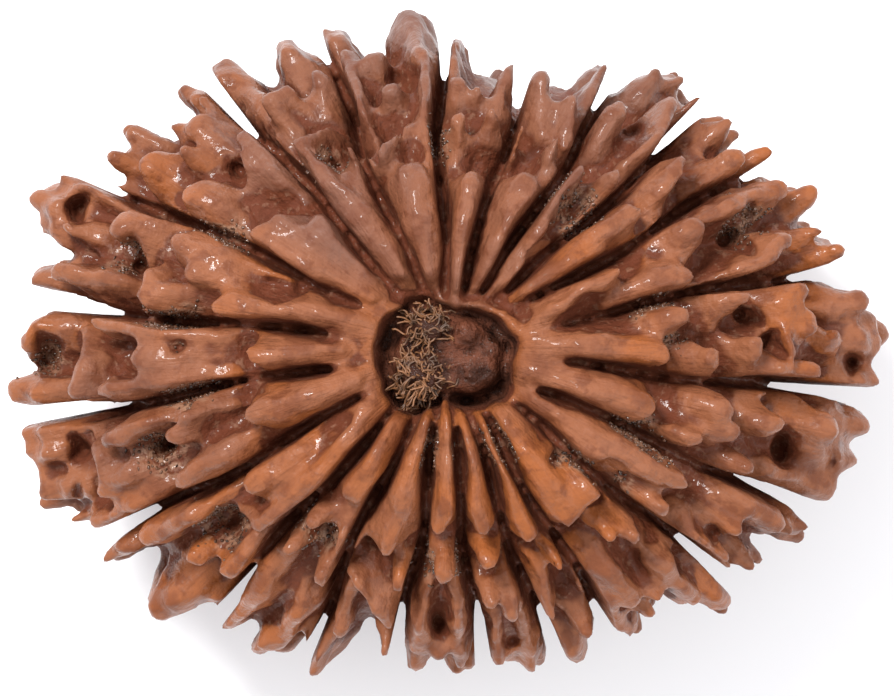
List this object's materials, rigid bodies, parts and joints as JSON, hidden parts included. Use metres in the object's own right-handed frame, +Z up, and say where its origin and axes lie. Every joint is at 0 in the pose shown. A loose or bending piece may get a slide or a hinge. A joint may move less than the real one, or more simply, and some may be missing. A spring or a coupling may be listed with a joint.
{
  "type": "rudraksha bead",
  "caption": "Oval rudraksha bead with deep grooves from pole to pole, knobbly lobes between them and a sunken stalk scar on top.",
  "frame": {"origin": "centre of the small flat spot on the lower pole, on the plane that the bead rests on", "axes": "+Z up the polar axis towards the stalk scar; +X along the longer way across the lobes; +Y along the shorter way across"},
  "size_m": [0.0376, 0.0287, 0.0248],
  "materials": {
    "shell": "oiled, satin"
  },
  "bodies": {
    "root": {"rudraksha_bead": "shell"}
  },
  "joints": []
}
